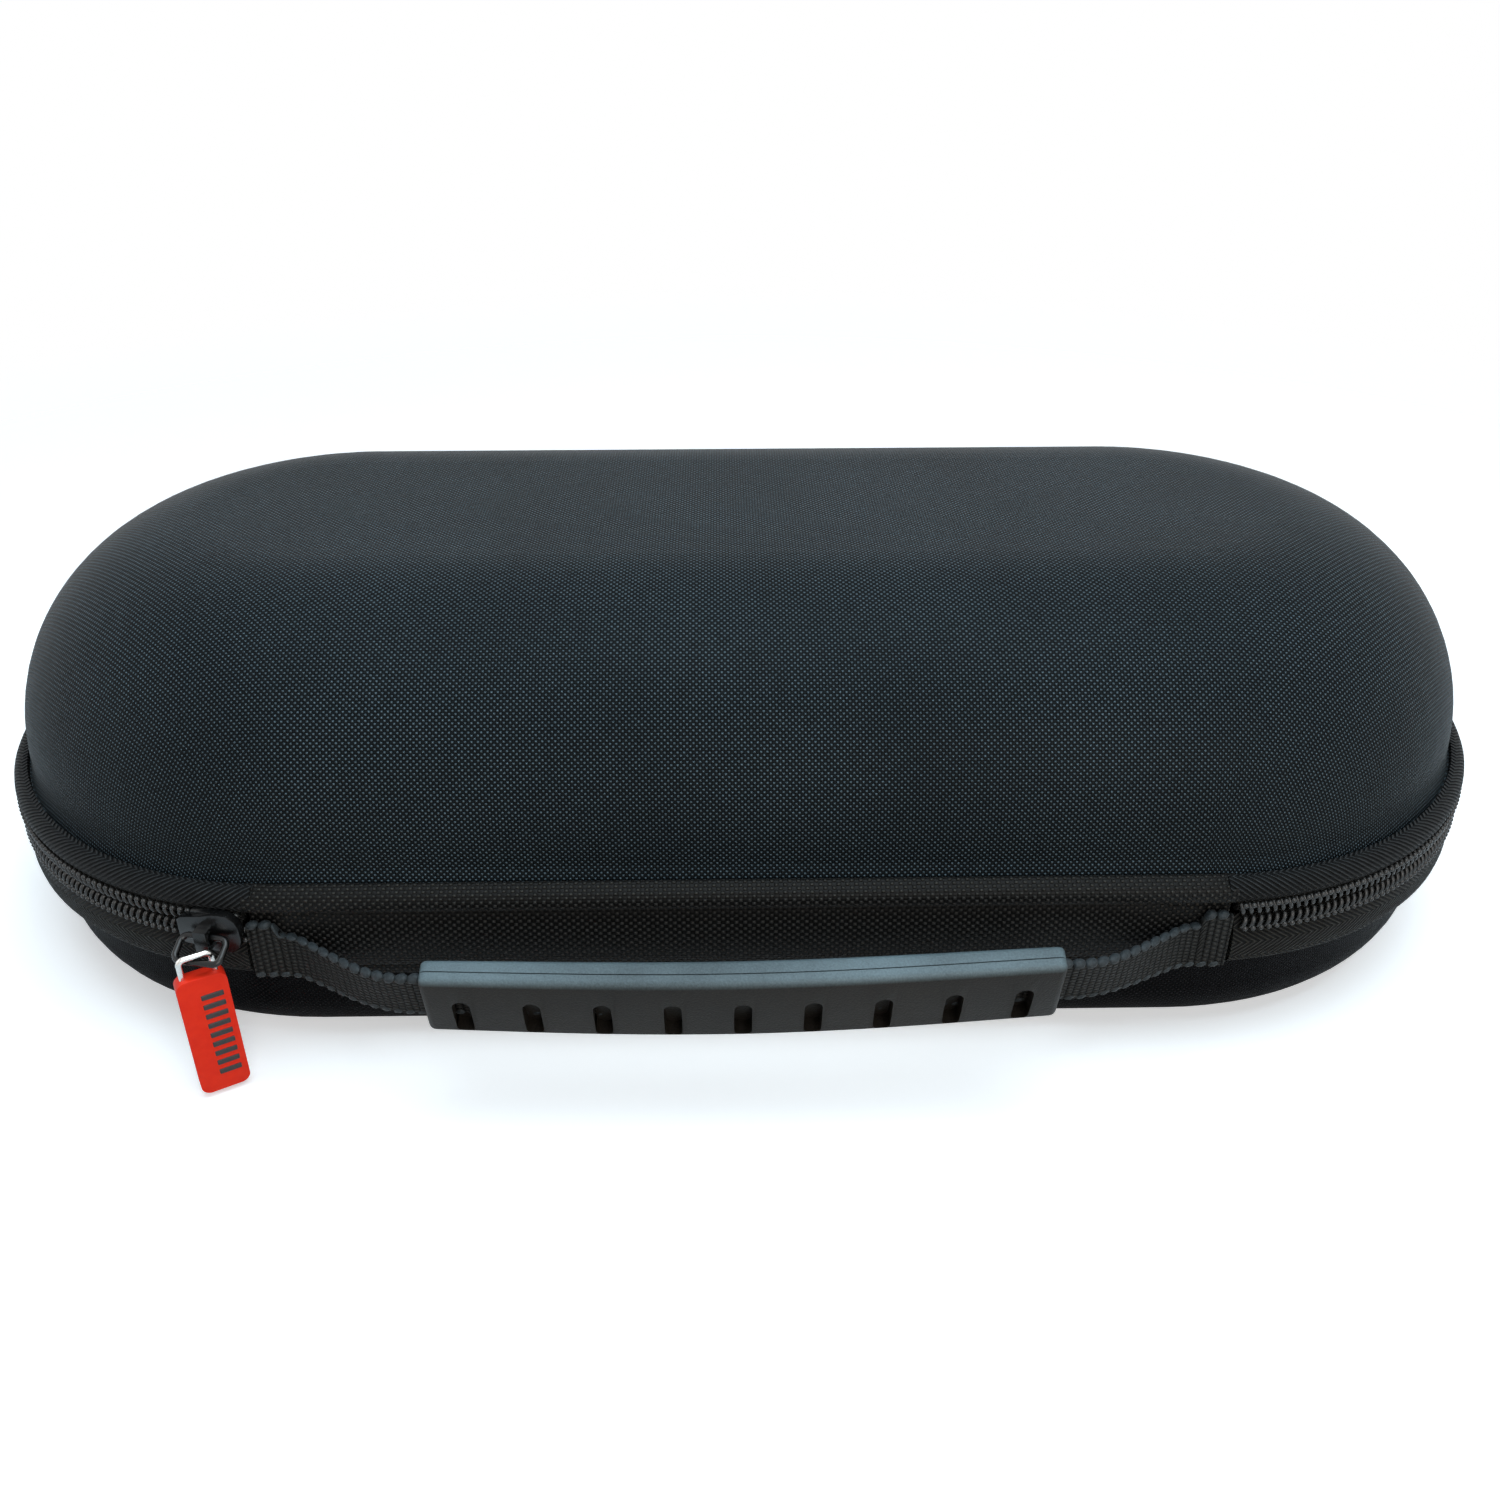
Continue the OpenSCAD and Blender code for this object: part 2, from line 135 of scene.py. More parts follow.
room.links.new(white_room.outputs[0], pick.inputs[2])
room.links.new(pick.outputs[0], room.nodes["World Output"].inputs["Surface"])


def clear_choice():
    bpy.ops.object.select_all(action="DESELECT")


clear_choice()
bpy.ops.mesh.primitive_plane_add(size=3, location=(0, 0, -0.0004))
table = bpy.context.object
table.name = "table_top"
table_paint = bpy.data.materials.new("table_paint")
table_paint.use_nodes = True
board = table_paint.node_tree
board_shader = board.nodes["Principled BSDF"]
board_shader.inputs["Roughness"].default_value = 0.9
board_shader.inputs["Specular IOR Level"].default_value = 0.0
# The table looks white, and throws a dim warm light on the case.
board_ray = board.nodes.new("ShaderNodeLightPath")
board_tone = board.nodes.new("ShaderNodeMix")
board_tone.data_type = "RGBA"
board_tone.inputs["A"].default_value = (0.44, 0.28, 0.16, 1)
board_tone.inputs["B"].default_value = (0.98, 0.98, 0.98, 1)
board.links.new(sees_white(board, board_ray), board_tone.inputs["Factor"])
board.links.new(board_tone.outputs["Result"], board_shader.inputs["Base Color"])
board_shader.inputs["Emission Color"].default_value = (1, 1, 1, 1)
board_glow = board.nodes.new("ShaderNodeMath")
board_glow.operation = "MULTIPLY"
board_glow.inputs[1].default_value = 0.42
board.links.new(board_ray.outputs["Is Camera Ray"], board_glow.inputs[0])
board.links.new(board_glow.outputs[0], board_shader.inputs["Emission Strength"])
# Past the case it fades into the white room, so that no horizon shows.
board_spot = board.nodes.new("ShaderNodeTexCoord")
board_far = board.nodes.new("ShaderNodeVectorMath")
board_far.operation = "LENGTH"
board.links.new(board_spot.outputs["Object"], board_far.inputs[0])
board_fade = board.nodes.new("ShaderNodeMapRange")
board_fade.interpolation_type = "SMOOTHSTEP"
for socket, value in (("From Min", 0.22), ("From Max", 0.60), ("To Min", 1), ("To Max", 0)):
    board_fade.inputs[socket].default_value = value
board.links.new(board_far.outputs["Value"], board_fade.inputs["Value"])
board.links.new(board_fade.outputs["Result"], board_shader.inputs["Alpha"])
table.data.materials.append(table_paint)

# Moulded shells: foam pressed to shape with a fine polyester weave laminated
# to both faces. The yarns run with the case on top and are drawn down over
# the shoulder, so they lie on the slant at the round ends.
END_X = 0.088      # where the straight sides meet the round ends
RIM_R = 0.077      # radius of the ends over the bindings


def new_group(name, inputs, outputs):
    group = bpy.data.node_groups.new(name, "ShaderNodeTree")
    for socket, start in inputs:
        group.interface.new_socket(socket, in_out="INPUT",
                                   socket_type="NodeSocketFloat").default_value = start
    for socket in outputs:
        group.interface.new_socket(socket, in_out="OUTPUT", socket_type="NodeSocketFloat")
    return group, group.nodes.new("NodeGroupInput"), group.nodes.new("NodeGroupOutput")


def calc(tree, how, *terms):
    """One Math node; each term is a number or a socket."""
    node = tree.nodes.new("ShaderNodeMath")
    node.operation = how
    for i, term in enumerate(terms):
        if isinstance(term, (int, float)):
            node.inputs[i].default_value = term
        else:
            tree.links.new(term, node.inputs[i])
    return node.outputs[0]


# Where a point of the shells was on the flat cloth. The cloth lies flat up to
# Crown, bends round Shoulder, whose centre is at Centre, and runs on straight.
drawn, drawn_in, drawn_out = new_group(
    "drawn_cloth", [("Crown", 0.03), ("Shoulder", 0.04), ("Centre", 0.04), ("Flip", 1.0)],
    ["Warp", "Weft"])
place = drawn.nodes.new("ShaderNodeTexCoord")
split = drawn.nodes.new("ShaderNodeSeparateXYZ")
drawn.links.new(place.outputs["Object"], split.inputs[0])
held = calc(drawn, "MINIMUM", calc(drawn, "MAXIMUM", split.outputs["X"], -END_X), END_X)
past = calc(drawn, "SUBTRACT", split.outputs["X"], held)
front = calc(drawn, "MULTIPLY", split.outputs["Y"], -1)
swing = calc(drawn, "ARCTAN2", past, front)
out = calc(drawn, "SQRT", calc(drawn, "ADD", calc(drawn, "MULTIPLY", past, past),
                               calc(drawn, "MULTIPLY", front, front)))
rise = calc(drawn, "MULTIPLY", calc(drawn, "SUBTRACT", split.outputs["Z"],
                                    drawn_in.outputs["Centre"]), drawn_in.outputs["Flip"])
bend = calc(drawn, "ARCTAN2", calc(drawn, "SUBTRACT", out, drawn_in.outputs["Crown"]), rise)
bend = calc(drawn, "MINIMUM", calc(drawn, "MAXIMUM", bend, 0.0), math.pi / 2)
reach = calc(drawn, "ADD", calc(drawn, "MINIMUM", out, drawn_in.outputs["Crown"]),
             calc(drawn, "ADD", calc(drawn, "MULTIPLY", bend, drawn_in.outputs["Shoulder"]),
                  calc(drawn, "MAXIMUM", calc(drawn, "MULTIPLY", rise, -1), 0.0)))
drawn.links.new(calc(drawn, "ADD", held, calc(drawn, "MULTIPLY", reach, calc(drawn, "SINE", swing))),
                drawn_out.inputs["Warp"])
drawn.links.new(calc(drawn, "MULTIPLY", reach, calc(drawn, "COSINE", swing)),
                drawn_out.inputs["Weft"])

# Crossed yarns: small pillows, every other one a warp yarn that lies over,
# with slubs along the yarns. Grain is the distance between two yarns.
weave, weave_in, weave_out = new_group(
    "crossed_yarns", [("Warp", 0.0), ("Weft", 0.0), ("Grain", 0.0005), ("Stretch", 1.0),
                      ("Under", 0.5)], ["Height", "Shade"])
warp = calc(weave, "DIVIDE", weave_in.outputs["Warp"], weave_in.outputs["Grain"])
weft = calc(weave, "DIVIDE", calc(weave, "DIVIDE", weave_in.outputs["Weft"],
                                  weave_in.outputs["Grain"]), weave_in.outputs["Stretch"])
both = calc(weave, "MULTIPLY", calc(weave, "SINE", calc(weave, "MULTIPLY", warp, math.pi)),
            calc(weave, "SINE", calc(weave, "MULTIPLY", weft, math.pi)))
pillow = calc(weave, "ABSOLUTE", both)
over = calc(weave, "GREATER_THAN", both, 0.0)
lift = calc(weave, "ADD", weave_in.outputs["Under"],
            calc(weave, "MULTIPLY", over, calc(weave, "SUBTRACT", 1.0, weave_in.outputs["Under"])))
slub_at = weave.nodes.new("ShaderNodeCombineXYZ")
weave.links.new(calc(weave, "MULTIPLY", warp, 0.22), slub_at.inputs[0])
weave.links.new(calc(weave, "MULTIPLY", weft, 0.60), slub_at.inputs[1])
slub = weave.nodes.new("ShaderNodeTexNoise")
slub.inputs["Scale"].default_value = 1.0
slub.inputs["Detail"].default_value = 3
weave.links.new(slub_at.outputs[0], slub.inputs["Vector"])
weave.links.new(calc(weave, "MULTIPLY", pillow, lift), weave_out.inputs["Height"])
weave.links.new(calc(weave, "MULTIPLY", calc(weave, "MULTIPLY", pillow, lift),
                     calc(weave, "ADD", slub.outputs["Fac"], 0.35)), weave_out.inputs["Shade"])


def new_paint(name, rough, sheen=0.0, metal=0.0, shine=0.5):
    paint = bpy.data.materials.new(name)
    paint.use_nodes = True
    shader = paint.node_tree.nodes["Principled BSDF"]
    shader.inputs["Roughness"].default_value = rough
    shader.inputs["Metallic"].default_value = metal
    shader.inputs["Specular IOR Level"].default_value = shine
    shader.inputs["Sheen Weight"].default_value = sheen
    shader.inputs["Sheen Roughness"].default_value = 0.45
    return paint, paint.node_tree, shader


def place_group(tree, group, **settings):
    node = tree.nodes.new("ShaderNodeGroup")
    node.node_tree = group
    for key, value in settings.items():
        socket = node.inputs[key.replace("_", " ")]
        if isinstance(value, (int, float)):
            socket.default_value = value
        else:
            tree.links.new(value, socket)
    return node


def shade_between(tree, shader, amount, dark, light):
    """Feeds Base Color with a mix of two colours."""
    ramp = tree.nodes.new("ShaderNodeMix")
    ramp.data_type = "RGBA"
    ramp.clamp_factor = True
    ramp.inputs["A"].default_value = (*dark, 1)
    ramp.inputs["B"].default_value = (*light, 1)
    tree.links.new(amount, ramp.inputs["Factor"])
    tree.links.new(ramp.outputs["Result"], shader.inputs["Base Color"])
    return ramp


def raise_by(tree, shader, height, depth):
    """Feeds Normal with a height in metres."""
    bump = tree.nodes.new("ShaderNodeBump")
    bump.inputs["Strength"].default_value = 1
    bump.inputs["Distance"].default_value = depth
    tree.links.new(height, bump.inputs["Height"])
    tree.links.new(bump.outputs["Normal"], shader.inputs["Normal"])


def noise(tree, scale, detail=2):
    """Noise over the piece, in turns a metre."""
    spot = tree.nodes.new("ShaderNodeTexCoord")
    cloud = tree.nodes.new("ShaderNodeTexNoise")
    cloud.inputs["Scale"].default_value = scale
    cloud.inputs["Detail"].default_value = detail
    tree.links.new(spot.outputs["Object"], cloud.inputs["Vector"])
    return cloud.outputs["Fac"]


def grained(name, rough, scale, detail, dark, light, depth, **looks):
    """A plain material with a fine grain in its tone and surface."""
    paint, tree, shader = new_paint(name, rough, **looks)
    grain = noise(tree, scale, detail)
    shade_between(tree, shader, grain, dark, light)
    raise_by(tree, shader, grain, depth)
    return paint


def moulded_cloth(name, dark, light, sheen, shine, crown, shoulder, centre, flip):
    paint, tree, shader = new_paint(name, 0.42, sheen, shine=shine)
    laid = place_group(tree, drawn, Crown=crown, Shoulder=shoulder, Centre=centre, Flip=flip)
    yarns = place_group(tree, weave, Warp=laid.outputs["Warp"], Weft=laid.outputs["Weft"],
                        Grain=0.00060, Stretch=0.98, Under=0.05)
    # Handling leaves the nap a little lighter in soft patches
    nap = calc(tree, "ADD", calc(tree, "MULTIPLY", noise(tree, 26, 4), 0.9), 0.55)
    shade_between(tree, shader, calc(tree, "MULTIPLY", yarns.outputs["Shade"], nap), dark, light)
    raise_by(tree, shader, yarns.outputs["Height"], 0.00055)
    return paint


lid_cloth = moulded_cloth("lid_cloth", (0.0010, 0.0014, 0.0018), (0.150, 0.212, 0.248), 0.03, 0.04,
                          0.0276, 0.045, 0.045, 1.0)
base_cloth = moulded_cloth("base_cloth", (0.0010, 0.0010, 0.0012), (0.022, 0.020, 0.022), 0.0, 0.03,
                           0.0586, 0.014, 0.014, -1.0)


def dress(node, paint):
    """Gives a CAD node its finish."""
    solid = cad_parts[node]
    solid.data.materials.clear()
    solid.data.materials.append(paint)


dress("lid_shell", lid_cloth)
dress("base_shell", base_cloth)

# Rim binding of the lid: a herringbone tape folded over the moulded flange
# and sewn through. It starts as a straight strip and is then laid round the
# rim; the hinge cloth takes its place along the front.
RUN_HALF = 2 * END_X + math.pi * RIM_R
CHAIN_R = 0.075975                     # radius of the chain at the round ends
LEFT_PAST, RIGHT_PAST = 0.0090, 0.0068 # how far its ends lie past the straights
# The zipper's two ends, measured along the rim from the middle of the front
LEFT_END = END_X + RIM_R * math.asin(LEFT_PAST / CHAIN_R)
RIGHT_END = END_X + RIM_R * math.asin(RIGHT_PAST / CHAIN_R)


def points_of(mesh):
    co = np.empty(len(mesh.vertices) * 3)
    mesh.vertices.foreach_get("co", co)
    return co.reshape(-1, 3)


def put_points(mesh, co):
    mesh.vertices.foreach_set("co", co.ravel())
    mesh.update()


def write_uv(mesh, along, across):
    """A UV map in metres, from two values for each vertex."""
    layer = mesh.uv_layers[0] if mesh.uv_layers else mesh.uv_layers.new(name="UVMap")
    loops = np.empty(len(mesh.loops), dtype=np.int64)
    mesh.loops.foreach_get("vertex_index", loops)
    layer.data.foreach_set("uv", np.stack([along[loops], across[loops]], axis=1).ravel())


def lay_round(piece):
    """Bends a strip that lies along X round the case's outline. Its distance
    in -Y becomes its radius. UV keeps the length along it and the way across."""
    mesh = piece.data
    co = points_of(mesh)
    s, r = co[:, 0].copy(), -co[:, 1]
    across = co[:, 2].copy()
    if "across" in mesh.attributes:
        mesh.attributes["across"].data.foreach_get("value", across)
    write_uv(mesh, s, across)
    side, far = np.sign(s), np.abs(s)
    bend = np.clip((far - END_X) / RIM_R, 0, math.pi)
    back = np.clip(far - END_X - math.pi * RIM_R, 0, None)
    straight = np.minimum(far, END_X) - back
    co[:, 0] = side * (straight + r * np.sin(bend))
    co[:, 1] = -r * np.cos(bend)
    put_points(mesh, co)


def only(piece):
    clear_choice()
    piece.select_set(True)
    bpy.context.view_layer.objects.active = piece


def settle():
    bpy.ops.object.transform_apply(location=True, rotation=True, scale=True)


def strip(name, section, start, end):
    """A strip along X between two places, from a ring of (radius, height) in
    metres. The ring starts at the hidden side."""
    sides, half = len(section), (end - start) / 2
    clear_choice()
    bpy.ops.mesh.primitive_cylinder_add(vertices=sides, radius=0.001, depth=2 * half,
                                        end_fill_type="NOTHING", rotation=(0, math.pi / 2, 0))
    bar = bpy.context.object
    bar.name = name
    settle()
    for edge in bar.data.edges:
        a, b = (bar.data.vertices[i].co for i in edge.vertices)
        edge.select = abs(a.x - b.x) > half
    bpy.ops.object.mode_set(mode="EDIT")
    bpy.ops.mesh.select_mode(type="EDGE")
    bpy.ops.mesh.subdivide(number_cuts=250)
    bpy.ops.object.mode_set(mode="OBJECT")
    mesh = bar.data
    co = points_of(mesh)
    turn = np.arctan2(co[:, 2], -co[:, 1])
    step = np.round((turn % math.tau) / math.tau * sides).astype(int) % sides
    ring = np.array(section)
    way = np.concatenate([[0], np.cumsum(np.hypot(*np.diff(ring, axis=0).T))])
    co[:, 1], co[:, 2] = -ring[step, 0], ring[step, 1]
    co[:, 0] += (start + end) / 2
    mesh.attributes.new("across", "FLOAT", "POINT").data.foreach_set("value", way[step])
    put_points(mesh, co)
    return bar


def join_all(name, parts):
    only(parts[0])
    for part in parts[1:]:
        part.select_set(True)
    bpy.ops.object.join()
    whole = bpy.context.object
    whole.name = name
    return whole


def round_run(name, section, left, right):
    """The strip that runs from the left end, round the back, to the right."""
    return join_all(name, [strip(name + "_left", section, -RUN_HALF, -left),
                           strip(name + "_right", section, right, RUN_HALF)])


def cap_ends(piece):
    only(piece)
    bpy.ops.object.mode_set(mode="EDIT")
    bpy.ops.mesh.select_mode(type="VERT")
    bpy.ops.mesh.select_all(action="SELECT")
    bpy.ops.mesh.remove_doubles(threshold=0.00002)
    bpy.ops.mesh.select_all(action="DESELECT")
    bpy.ops.mesh.select_non_manifold(extend=False, use_wire=False, use_multi_face=False,
                                     use_non_contiguous=False, use_verts=False)
    bpy.ops.mesh.edge_face_add()
    bpy.ops.mesh.select_all(action="SELECT")
    bpy.ops.mesh.normals_make_consistent(inside=False)
    bpy.ops.object.mode_set(mode="OBJECT")
    bpy.ops.object.shade_smooth_by_angle(angle=math.radians(50))


# Herringbone: slanted ribs that turn back at every band.
bone, bone_in, bone_out = new_group(
    "herringbone", [("Along", 0.0), ("Across", 0.0), ("Rib", 0.0009), ("Band", 0.004),
                    ("Shift", 0.0), ("Slant", 1.0)], ["Height", "Shade"])
fold_back = calc(bone, "PINGPONG", calc(bone, "ADD", bone_in.outputs["Across"],
                                        bone_in.outputs["Shift"]), bone_in.outputs["Band"])
leaned = calc(bone, "ADD", calc(bone, "ABSOLUTE", bone_in.outputs["Along"]),
              calc(bone, "MULTIPLY", fold_back, bone_in.outputs["Slant"]))
rib = calc(bone, "SINE", calc(bone, "MULTIPLY", calc(
    bone, "DIVIDE", leaned, bone_in.outputs["Rib"]), math.tau))
rib = calc(bone, "POWER", calc(bone, "ADD", calc(bone, "MULTIPLY", rib, 0.5), 0.5), 1.5)
lint = bone.nodes.new("ShaderNodeTexNoise")
lint.inputs["Scale"].default_value = 1100
lint.inputs["Detail"].default_value = 3
lint_at = bone.nodes.new("ShaderNodeCombineXYZ")
bone.links.new(leaned, lint_at.inputs[0])
bone.links.new(calc(bone, "MULTIPLY", bone_in.outputs["Across"], 0.6), lint_at.inputs[1])
bone.links.new(lint_at.outputs[0], lint.inputs["Vector"])
bone.links.new(calc(bone, "ADD", rib, calc(bone, "MULTIPLY", lint.outputs["Fac"], 0.5)),
               bone_out.inputs["Height"])
bone.links.new(calc(bone, "MULTIPLY", calc(bone, "ADD", rib, 0.05),
                    calc(bone, "ADD", lint.outputs["Fac"], 0.3)), bone_out.inputs["Shade"])


def uv_of(tree):
    """The UV map as it stands, and its two axes."""
    laid = tree.nodes.new("ShaderNodeUVMap")
    laid.uv_map = "UVMap"
    axes = tree.nodes.new("ShaderNodeSeparateXYZ")
    tree.links.new(laid.outputs[0], axes.inputs[0])
    return laid.outputs[0], axes.outputs["X"], axes.outputs["Y"]


def twill_tape(name, dark, light, rib, band, shift, slant, depth):
    paint, tree, shader = new_paint(name, 0.5, 0.01, shine=0.06)
    _, along, across = uv_of(tree)
    bones = place_group(tree, bone, Along=along, Across=across,
                        Rib=rib, Band=band, Shift=shift, Slant=slant)
    shade_between(tree, shader, bones.outputs["Shade"], dark, light)
    raise_by(tree, shader, bones.outputs["Height"], depth)
    return paint


def at_rim(*points):
    """(radius, height over the parting plane) in millimetres to metres."""
    return [(r / 1000, PARTING_Z + z / 1000) for r, z in points]


roll_section = at_rim((73.9, 5.4), (74.2, 4.2), (75.0, 3.55), (76.0, 3.5), (76.8, 3.9), (77.15, 4.7),
                      (77.2, 5.7), (77.0, 6.7), (76.5, 7.6), (75.8, 8.3), (74.9, 8.6), (74.0, 8.4),
                      (73.8, 7.4))
roll_twill = twill_tape("roll_twill", (0.0010, 0.0012, 0.0014), (0.054, 0.058, 0.060),
                        0.00140, 0.0048, 0.0044, 1.35, 0.00070)
lid_roll = round_run("lid_roll", roll_section, LEFT_END - 0.0025, RIGHT_END - 0.0025)
lay_round(lid_roll)
cap_ends(lid_roll)
lid_roll.data.materials.append(roll_twill)
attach(lid_roll, "lid")
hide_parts("lid_rim_binding")

# Zipper tapes: herringbone polyester, sewn to the flanges and turned over
# their edges. The lower one bulges a little over the base's flange and hides
# its binding.
tape_twill = twill_tape("tape_twill", (0.0010, 0.0010, 0.0010), (0.066, 0.066, 0.061),
                        0.00140, 0.0034, 0.0010, 1.5, 0.00080)
lower_section = at_rim((74.0, -6.5), (74.0, -3.0), (74.4, -0.8), (75.0, -0.5), (75.6, -1.3), (76.3, -3.0),
                       (76.8, -5.0), (77.05, -7.0), (77.1, -8.8), (76.9, -10.2), (76.3, -11.2),
                       (75.3, -11.7), (74.2, -11.2), (73.9, -9.4))
upper_section = at_rim((74.2, 3.0), (74.4, 0.7), (75.2, 0.5), (75.9, 1.2), (76.2, 2.4), (76.1, 3.6),
                       (76.0, 4.6), (75.4, 5.2), (74.4, 5.2))
lower_tape = round_run("lower_tape", lower_section, LEFT_END, RIGHT_END)
upper_tape = round_run("upper_tape", upper_section, LEFT_END, RIGHT_END)
for tape, body, hidden in ((lower_tape, "base", ("lower_zipper_tape", "base_rim_binding")),
                           (upper_tape, "lid", ("upper_zipper_tape",))):
    lay_round(tape)
    cap_ends(tape)
    tape.data.materials.append(tape_twill)
    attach(tape, body)
    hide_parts(*hidden)

# Zipper coils: each chain half is a nylon filament wound into flat loops, one
# turn every 1.67 mm, with a moulded head on each turn. The turns of the two
# halves fall between each other.
PITCH = 0.00167
TURN_R, HEAD_R = 0.0761, 0.0769          # radius of the turns' and heads' middles
TURN_RISE, HEAD_RISE = 0.00170, 0.00282  # and how far from the parting plane


def repeat_along(piece, offset, count):
    row = piece.modifiers.new("row", "ARRAY")
    row.use_relative_offset = False
    row.use_constant_offset = True
    row.constant_offset_displace = offset
    row.count = count
    only(piece)
    bpy.ops.object.modifier_apply(modifier=row.name)


def coil_turns(name, side, shift):
    """One turn and its head, repeated along each half of the run."""
    runs = []
    for start, end in ((-RUN_HALF, -LEFT_END), (RIGHT_END, RUN_HALF)):
        at = (start + (0.5 + shift) * PITCH, -TURN_R, PARTING_Z + side * TURN_RISE)
        clear_choice()
        bpy.ops.mesh.primitive_torus_add(major_segments=14, minor_segments=6,
                                         major_radius=0.00120, minor_radius=0.00048,
                                         rotation=(0, math.pi / 2, 0))
        loop = bpy.context.object
        settle()
        bpy.ops.object.mode_set(mode="EDIT")
        bpy.ops.mesh.select_all(action="SELECT")
        bpy.ops.transform.resize(value=(1, 0.70, 1.0), center_override=(0, 0, 0))
        bpy.ops.transform.rotate(value=side * 0.28, orient_axis="Y", center_override=(0, 0, 0))
        bpy.ops.transform.translate(value=at)
        bpy.ops.object.mode_set(mode="OBJECT")
        clear_choice()
        bpy.ops.mesh.primitive_uv_sphere_add(segments=10, ring_count=7, radius=0.00062,
                                             location=(at[0] + 0.0003, -HEAD_R,
                                                       PARTING_Z + side * HEAD_RISE))
        head = bpy.context.object
        settle()
        loop = join_all(name, [loop, head])
        repeat_along(loop, (PITCH, 0, 0), int((end - start) / PITCH))
        runs.append(loop)
    coil = join_all(name, runs)
    lay_round(coil)
    only(coil)
    bpy.ops.object.shade_smooth()
    return coil


nylon = grained("black_nylon", 0.27, 900, 2, (0.004, 0.004, 0.004), (0.040, 0.039, 0.037), 0.00003,
                shine=0.4)
upper_coil = coil_turns("upper_coil", 1, 0.0)
lower_coil = coil_turns("lower_coil", -1, 0.5)
for coil, body, node in ((upper_coil, "lid", "upper_zipper_coil"),
                         (lower_coil, "base", "lower_zipper_coil")):
    coil.data.materials.append(nylon)
    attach(coil, body)
    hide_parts(node)

# Cloth hinge: one strip of coarse basket-weave cloth, sewn over the lid's
# flange at the top and to the base at the bottom. It is puckered at its ends,
# and folds along two lines, under the flange and at its lower edge.
hinge_cloth, hinge_tree, hinge_shader = new_paint("basket_cloth", 0.44, 0.02, shine=0.1)
_, hinge_warp, hinge_weft = uv_of(hinge_tree)
hinge_weave = place_group(hinge_tree, weave, Warp=hinge_warp, Weft=hinge_weft,
                          Grain=0.00085, Stretch=0.9, Under=0.06)
shade_between(hinge_tree, hinge_shader, hinge_weave.outputs["Shade"], (0.0008, 0.0008, 0.0008),
              (0.074, 0.071, 0.064))
raise_by(hinge_tree, hinge_shader, hinge_weave.outputs["Height"], 0.00060)


SHEET_ENDS = (-0.0962, 0.0940)
FOLD_ENDS = (-0.0950, 0.0928)
hem = strip("hinge_hem", at_rim((73.9, 5.2), (74.2, 3.9), (75.1, 3.3), (76.1, 3.4), (76.9, 3.9),
                                (77.2, 4.9), (77.2, 6.0), (76.9, 6.9), (76.1, 7.5), (75.4, 7.9),
                                (74.7, 8.5), (74.0, 8.6), (73.8, 7.4)), *SHEET_ENDS)
# It is gathered a little towards its two ends
PUCKER = 0.00022
for v in hem.data.vertices:
    near = np.clip((abs(v.co.x) - 0.086) / 0.009, 0, 1)
    wave = math.sin(abs(v.co.x) * 2600 + v.co.z * 700) + 0.5 * math.sin(v.co.x * 4700)
    v.co.y -= PUCKER * near * wave
    v.co.z += 0.5 * PUCKER * near * wave
panel = strip("hinge_sheet", at_rim((74.0, -4.0), (74.0, 2.0), (74.3, 3.3), (75.0, 3.4), (75.6, 2.2),
                                    (75.9, 0.0), (76.1, -3.0), (76.1, -6.0), (75.8, -8.6),
                                    (75.1, -10.6), (74.3, -11.2), (74.0, -9.5)), *SHEET_ENDS)
# The sheet is pressed thinner at its two ends
SHEET_BACK = 0.0740
for v in panel.data.vertices:
    flat = np.clip((abs(v.co.x + 0.0011) - 0.078) / 0.007, 0, 1)
    v.co.y = -SHEET_BACK - (-v.co.y - SHEET_BACK) * (1 - 0.45 * flat)
low_fold = strip("hinge_low_fold", at_rim((73.9, -12.0), (73.95, -10.3), (74.3, -9.6), (74.7, -10.0),
                                          (74.7, -11.6), (74.5, -13.2), (74.0, -13.6)),
                 *FOLD_ENDS)
high_fold = strip("hinge_high_fold", at_rim((74.3, 3.4), (74.4, 1.6), (74.8, 1.2), (75.1, 1.8),
                                            (75.2, 3.4), (75.1, 5.0), (74.6, 5.2)),
                  *FOLD_ENDS)
for piece in (hem, panel, low_fold, high_fold):
    lay_round(piece)
    cap_ends(piece)
    piece.data.materials.append(hinge_cloth)
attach(hem, "lid")
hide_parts("lid_rim_binding")
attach(panel, "spine")
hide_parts("hinge_panel")
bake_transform(low_fold)
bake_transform(high_fold)

# Handle webbing: ribbed polyester with looped edges, folded and sewn over the
# zipper's ends. It swings out and leans over on its way into the grip, and
# the handle hangs a touch lower on the left.
SHIFT = -0.0011
SEWN_X, STRAIGHT_X = 0.0880, 0.06045
WEB_END = 0.0953
WEB_T, WEB_H, WEB_Z = 0.0015, 0.0134, 0.0297
WEB_SEWN_Y, WEB_GRIP_Y = -0.0762, -0.0892
GRIP_LEAN, DROOP = math.radians(18), 0.014
BOW_HALF, BOW_OUT, BOW_DOWN = 0.085, 0.0010, 0.0014
GATHER_FROM, GATHER_RUN, SEWN_DOWN = 0.058, 0.024, 0.0013
FOLD_FROM, FOLD_RUN = 0.0890, 0.0012


